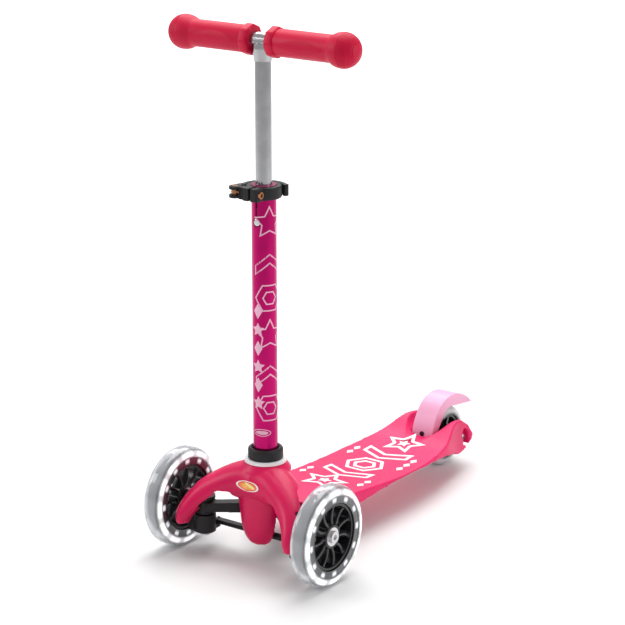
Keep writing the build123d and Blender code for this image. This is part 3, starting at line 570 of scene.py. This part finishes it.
# ---- Grips ----
# Soft red rubber, pushed on each end of the crossbar.  Each has an eight-sided flange on
# the inside, a barrel with a raised oval, and a ball with turned grooves on the end.
grip_red = rubber("red rubber", (0.60, 0.001, 0.042), 0.46, 0.00006)
barrel_radius = 0.0155
ball_radius = 0.020
flange_radius = 0.0182
cap_angle = math.radians(62)
groove_count = 9
groove_share = 0.72
groove_depth = 0.0006
bore = 0.0095
seat_length = 0.011
seat_radius = flange_radius - 0.003
barrel_start = 0.012
cap_steps = 9
pole_radius = 0.00005
# how the barrel swells into the ball: distances before the ball's centre, and radii
neck = ((0.0165, barrel_radius), (0.014, barrel_radius + 0.0004), (0.0115, 0.0172))
neck += ((0.008, 0.0188), (0.004, 0.0197))
for side in sides:
    low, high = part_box("grip_" + side)
    outward = 1 if low.x + high.x > 0 else -1
    inner_end = min(abs(low.x), abs(high.x))
    outer_end = max(abs(low.x), abs(high.x))
    axis_y, axis_z = (low.y + high.y) / 2, (low.z + high.z) / 2
    ball_centre = outer_end - ball_radius
    seat_end = inner_end + seat_length
    outline = [(inner_end, bore), (inner_end, seat_radius), (seat_end, seat_radius)]
    outline.append((inner_end + barrel_start, barrel_radius))
    for before, radius in neck:
        outline.append((ball_centre - before, radius))
    for i in range(groove_count):
        start = cap_angle * i / groove_count
        stop = cap_angle * (i + groove_share) / groove_count
        groove_floor = (stop + 0.02, ball_radius - groove_depth)
        for turn, radius in ((start, ball_radius), (stop, ball_radius), groove_floor):
            outline.append((ball_centre + radius * math.sin(turn), radius * math.cos(turn)))
    for i in range(cap_steps):
        turn = cap_angle + (math.pi / 2 - cap_angle) * i / cap_steps
        outline.append((ball_centre + ball_radius * math.sin(turn), ball_radius * math.cos(turn)))
    outline.append((outer_end, pole_radius))
    grip = turned("grip_rubber_" + side, outline, (0, axis_y, axis_z), (outward, 0, 0))
    fit_out(grip, "grip_" + side, grip_red, smooth=40)

    # the flange, eight-sided with rounded corners
    bpy.ops.object.select_all(action="DESELECT")
    bpy.ops.mesh.primitive_cylinder_add(vertices=8, radius=flange_radius, depth=0.0105)
    flange = bpy.context.object
    flange.name = "grip_flange_" + side
    flange.rotation_euler = (0, math.pi / 2, 0)
    flange.location = (outward * (inner_end + 0.0058), axis_y, axis_z)
    bpy.ops.object.transform_apply(location=True, rotation=True, scale=True)
    bevel = flange.modifiers.new("bevel", "BEVEL")
    bevel.width = 0.0022
    bevel.segments = 4
    apply_modifiers(flange)
    fit_out(flange, "grip_" + side, grip_red, replace=False)

    # the raised oval, cut from a slightly larger barrel by two wide discs
    oval_centre = outward * (inner_end + ball_centre) / 2
    half_length, half_height = 0.029, 0.0078
    disc_depth = 0.03
    disc_radius = (half_length**2 + half_height**2) / (2 * half_height)
    bpy.ops.object.select_all(action="DESELECT")
    bpy.ops.mesh.primitive_cylinder_add(
        vertices=turned_segments,
        radius=barrel_radius + 0.00045,
        depth=half_length * 2.2,
    )
    oval = bpy.context.object
    oval.name = "grip_oval_" + side
    oval.rotation_euler = (0, math.pi / 2, 0)
    oval.location = (oval_centre, axis_y, axis_z)
    bpy.ops.object.transform_apply(location=True, rotation=True, scale=True)
    for way in (-1, 1):
        shift = way * (disc_radius - half_height)
        bpy.ops.object.select_all(action="DESELECT")
        bpy.ops.mesh.primitive_cylinder_add(
            vertices=256,
            radius=disc_radius,
            depth=disc_depth,
            rotation=(math.pi / 2, 0, 0),
            location=(oval_centre, axis_y - disc_depth / 2 - 0.004, axis_z + shift),
        )
        disc = bpy.context.object
        cut = oval.modifiers.new("cut", "BOOLEAN")
        cut.operation = "INTERSECT"
        cut.object = disc
        apply_modifiers(oval)
        bpy.data.objects.remove(disc)
    fit_out(oval, "grip_" + side, grip_red, replace=False)

# ---- Floor and light ----
# A plain pale floor under large soft lamps: one overhead, one to each side, and a wide one
# that whitens the floor behind the scooter.
floor_finish = Finish("pale floor", roughness=0.9)
patch = floor_finish.noise(0.8, 2.0)
floor_finish.set(base_color=floor_finish.mix(patch, (0.80, 0.80, 0.80), (0.83, 0.83, 0.83)))
bpy.ops.object.select_all(action="DESELECT")
bpy.ops.mesh.primitive_plane_add(size=30)
floor = bpy.context.object
floor.name = "floor"
floor.data.materials.append(floor_finish.material)

world = bpy.data.worlds.new("studio")
world.use_nodes = True
background = world.node_tree.nodes["Background"]
background.inputs["Color"].default_value = (1.0, 1.0, 1.0, 1.0)
background.inputs["Strength"].default_value = 0.55
bpy.context.scene.world = world
bpy.context.scene.view_settings.view_transform = "Standard"


def soft_lamp(name, place, size, power, target=(0, 0, 0.25)):
    """A square studio lamp that faces the scooter, or another target."""
    lamp_data = bpy.data.lights.new(name, "AREA")
    lamp_data.shape = "SQUARE"
    lamp_data.size = size
    lamp_data.energy = power
    lamp = bpy.data.objects.new(name, lamp_data)
    bpy.context.collection.objects.link(lamp)
    lamp.location = place
    lamp.rotation_euler = (Vector(target) - Vector(place)).to_track_quat("-Z", "Y").to_euler()


soft_lamp("overhead", (-0.3, 0.5, 2.3), 1.8, 42.0)
soft_lamp("front_left", (-1.7, -1.3, 1.3), 0.9, 12.0)
soft_lamp("right", (1.9, 0.3, 1.0), 0.8, 9.0)
soft_lamp("backdrop", (-2.2, 3.2, 3.0), 4.0, 190.0, (-2.6, 4.2, 0))
